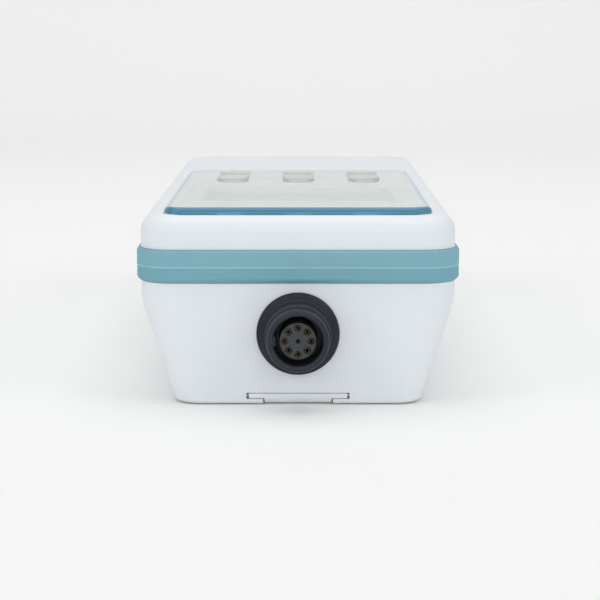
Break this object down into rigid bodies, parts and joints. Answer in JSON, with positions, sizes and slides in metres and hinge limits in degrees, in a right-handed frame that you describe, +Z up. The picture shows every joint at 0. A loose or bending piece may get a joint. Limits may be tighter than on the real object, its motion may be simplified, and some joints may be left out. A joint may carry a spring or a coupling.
{
  "type": "handheld water quality meter with a probe socket",
  "caption": "Handheld meter that a water quality probe plugs into: display and keys under a raised clear panel, round pin socket, rubber edge band, fold-out stand and battery cover.",
  "frame": {"origin": "on the table under the middle of the whole object", "axes": "+X right across the case, +Y from the socket end back to the grip end, +Z up out of the display"},
  "size_m": [0.115, 0.2986, 0.071],
  "materials": {
    "white_plastic": "satin moulded",
    "teal_rubber": "matte",
    "blue_lens": "clear gloss",
    "face_sheet": "satin printed",
    "key_rubber": "matte",
    "black_nylon": "satin moulded",
    "seal_rubber": "matte",
    "gold_plate": "polished plate",
    "steel": "plain",
    "circuit_board": "lacquered",
    "display_glass": "polished",
    "light_guide": "polished",
    "cell_jacket": "satin printed",
    "wire_jacket": "satin"
  },
  "bodies": {
    "case": {"lower_case": "white_plastic", "upper_case": "white_plastic", "edge_band": "teal_rubber", "display_lens": "blue_lens", "face_sheet": "face_sheet", "keypad_mat": "key_rubber", "socket_shell": "black_nylon", "socket_insert": "black_nylon", "processor_chip": "black_nylon", "board_header": "black_nylon", "buzzer": "black_nylon", "case_gasket": "seal_rubber", "socket_seal": "seal_rubber", "rubber_foot_1": "seal_rubber", "rubber_foot_2": "seal_rubber", "rubber_foot_3": "seal_rubber", "rubber_foot_4": "seal_rubber", "socket_contact_1": "gold_plate", "socket_contact_2": "gold_plate", "socket_contact_3": "gold_plate", "socket_contact_4": "gold_plate", "socket_contact_5": "gold_plate", "socket_contact_6": "gold_plate", "socket_contact_7": "gold_plate", "socket_contact_8": "gold_plate", "socket_nut": "steel", "lcd_frame": "steel", "backup_cell": "steel", "battery_spring_front": "steel", "battery_spring_rear": "steel", "battery_terminal_negative": "steel", "battery_terminal_positive": "steel", "battery_bridge": "steel", "case_screw_1": "steel", "case_screw_2": "steel", "case_screw_3": "steel", "case_screw_4": "steel", "main_board": "circuit_board", "lcd_glass": "display_glass", "backlight_plate": "light_guide", "battery_cell_1": "cell_jacket", "battery_cell_2": "cell_jacket", "battery_cell_3": "cell_jacket", "battery_cell_4": "cell_jacket", "socket_harness": "wire_jacket", "battery_lead": "wire_jacket"},
    "key_1_body": {"key_1": "key_rubber"},
    "key_2_body": {"key_2": "key_rubber"},
    "key_3_body": {"key_3": "key_rubber"},
    "key_4_body": {"key_4": "key_rubber"},
    "key_5_body": {"key_5": "key_rubber"},
    "key_6_body": {"key_6": "key_rubber"},
    "key_7_body": {"key_7": "key_rubber"},
    "key_8_body": {"key_8": "key_rubber"},
    "key_9_body": {"key_9": "key_rubber"},
    "battery_cover_body": {"battery_cover": "white_plastic", "battery_cover_seal": "seal_rubber", "cover_screw_1": "steel", "cover_screw_2": "steel"},
    "tilt_stand_body": {"tilt_stand": "white_plastic"}
  },
  "joints": [
    {"name": "key_1_press", "type": "slide", "parent": "case", "child": "key_1_body", "axis": [0, 0, -1], "range_m": [0, 0.0012], "stiffness_N_per_m": 1000, "springref_m": -0.0002},
    {"name": "key_2_press", "type": "slide", "parent": "case", "child": "key_2_body", "axis": [0, 0, -1], "range_m": [0, 0.0012], "stiffness_N_per_m": 1000, "springref_m": -0.0002},
    {"name": "key_3_press", "type": "slide", "parent": "case", "child": "key_3_body", "axis": [0, 0, -1], "range_m": [0, 0.0012], "stiffness_N_per_m": 1000, "springref_m": -0.0002},
    {"name": "key_4_press", "type": "slide", "parent": "case", "child": "key_4_body", "axis": [0, 0, -1], "range_m": [0, 0.0012], "stiffness_N_per_m": 1000, "springref_m": -0.0002},
    {"name": "key_5_press", "type": "slide", "parent": "case", "child": "key_5_body", "axis": [0, 0, -1], "range_m": [0, 0.0012], "stiffness_N_per_m": 1000, "springref_m": -0.0002},
    {"name": "key_6_press", "type": "slide", "parent": "case", "child": "key_6_body", "axis": [0, 0, -1], "range_m": [0, 0.0012], "stiffness_N_per_m": 1000, "springref_m": -0.0002},
    {"name": "key_7_press", "type": "slide", "parent": "case", "child": "key_7_body", "axis": [0, 0, -1], "range_m": [0, 0.0012], "stiffness_N_per_m": 1000, "springref_m": -0.0002},
    {"name": "key_8_press", "type": "slide", "parent": "case", "child": "key_8_body", "axis": [0, 0, -1], "range_m": [0, 0.0012], "stiffness_N_per_m": 1000, "springref_m": -0.0002},
    {"name": "key_9_press", "type": "slide", "parent": "case", "child": "key_9_body", "axis": [0, 0, -1], "range_m": [0, 0.0012], "stiffness_N_per_m": 1000, "springref_m": -0.0002},
    {"name": "tilt_stand_hinge", "type": "hinge", "parent": "case", "child": "tilt_stand_body", "pos_m": [0, -0.13065, 0.0033], "axis": [-1, 0, 0], "range_deg": [0, 80]},
    {"name": "battery_cover_lift_off", "type": "slide", "parent": "case", "child": "battery_cover_body", "axis": [0, 0, -1], "range_m": [0, 0.03]}
  ]
}
